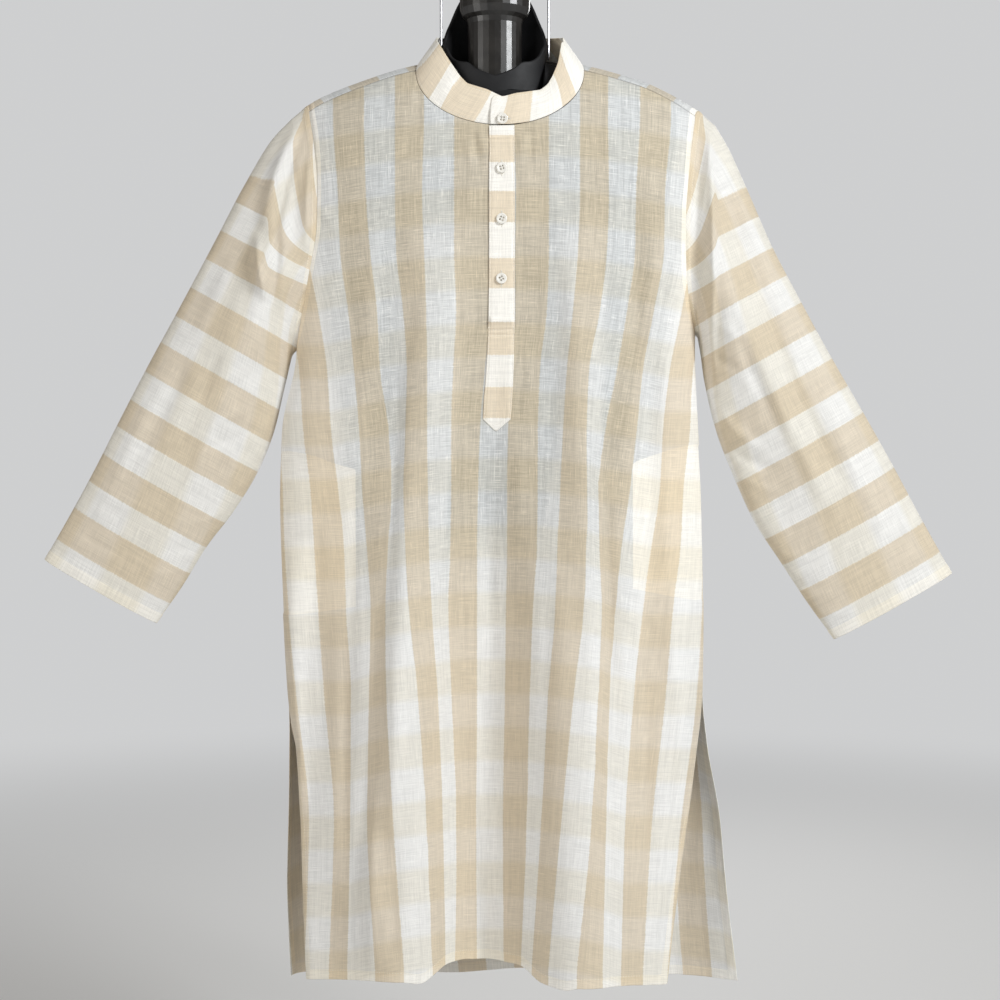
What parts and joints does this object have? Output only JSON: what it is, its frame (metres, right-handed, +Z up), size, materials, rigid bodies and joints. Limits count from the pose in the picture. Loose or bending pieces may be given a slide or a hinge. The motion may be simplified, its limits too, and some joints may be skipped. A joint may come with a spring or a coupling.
{
  "type": "kurta tunic on a hanging torso form",
  "caption": "Long-sleeved collarless-band kurta tunic in checked cotton, half placket with buttons, side slits and pockets, worn by a smooth limbless torso form that hangs from a wire bail",
  "frame": {"origin": "top of the wire bail, where it hangs on a rail or hook", "axes": "+X to the viewer's right as the kurta faces the viewer, +Y from front to back, +Z up; the front faces -Y"},
  "size_m": [1.07, 0.1689, 1.258],
  "materials": {
    "check_cloth": "slubby cotton and linen weave in white and beige checks, slightly see-through",
    "white_cloth": "the same cloth where the pocket bags double it",
    "button": "off-white polished four-hole button",
    "form_black": "smooth satin black moulding",
    "post_black": "polished black moulding",
    "wire": "bright steel wire"
  },
  "bodies": {
    "root": {"front_panel": "check_cloth", "back_panel": "check_cloth", "sleeve_left": "check_cloth", "sleeve_right": "check_cloth", "collar": "check_cloth", "placket": "check_cloth", "placket_under": "check_cloth", "pocket_bag_left": "white_cloth", "pocket_bag_right": "white_cloth", "button_1": "button", "button_2": "button", "button_3": "button", "button_collar": "button", "form_body": "form_black", "form_neck": "form_black", "neck_post": "post_black", "wire_bail": "wire"}
  },
  "joints": []
}
